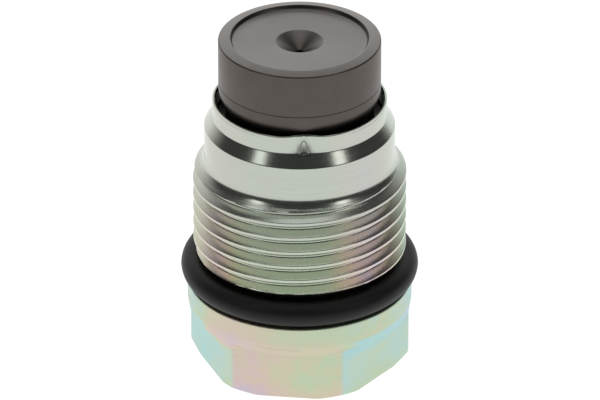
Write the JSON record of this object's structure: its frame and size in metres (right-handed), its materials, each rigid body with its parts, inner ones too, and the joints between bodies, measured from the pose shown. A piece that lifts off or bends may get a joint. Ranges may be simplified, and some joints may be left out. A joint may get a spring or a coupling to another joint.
{
  "type": "cartridge valve",
  "caption": "Screw-in cartridge relief valve: plated hexagon holder with a threaded body, ring seal, and a hard insert with a central inlet and a spring-loaded piston inside.",
  "frame": {"origin": "centre of the hexagon's end face, the lowest face of the standing valve", "axes": "+Z along the valve's axis from the hexagon towards the sealing nose; -Y towards the side with the front stake mark"},
  "size_m": [0.0222, 0.0222, 0.0333],
  "materials": {
    "zinc_plated_steel": "satin zinc plating with a pale iridescent passivation",
    "hardened_steel": "dark satin, finely turned",
    "black_rubber": "smooth moulded rubber with a soft sheen",
    "ground_steel": "ground and lapped, bright",
    "spring_steel": "dark oiled wire with bright ground ends",
    "shim_steel": "rolled strip, satin"
  },
  "bodies": {
    "holder": {"valve_holder": "zinc_plated_steel", "flange_o_ring": "black_rubber", "valve_insert": "hardened_steel", "valve_spring": "spring_steel", "spring_seat": "ground_steel", "stop_pin": "ground_steel", "shim_coarse": "shim_steel", "shim_medium": "shim_steel", "shim_fine": "shim_steel"},
    "piston": {"valve_piston": "ground_steel", "spring_plate": "ground_steel"}
  },
  "joints": [
    {"name": "piston_lift", "type": "slide", "parent": "holder", "child": "piston", "axis": [0, 0, -1], "range_m": [0, 0.0011], "stiffness_N_per_m": 100, "springref_m": -0.004, "deforming": ["valve_spring"]}
  ]
}
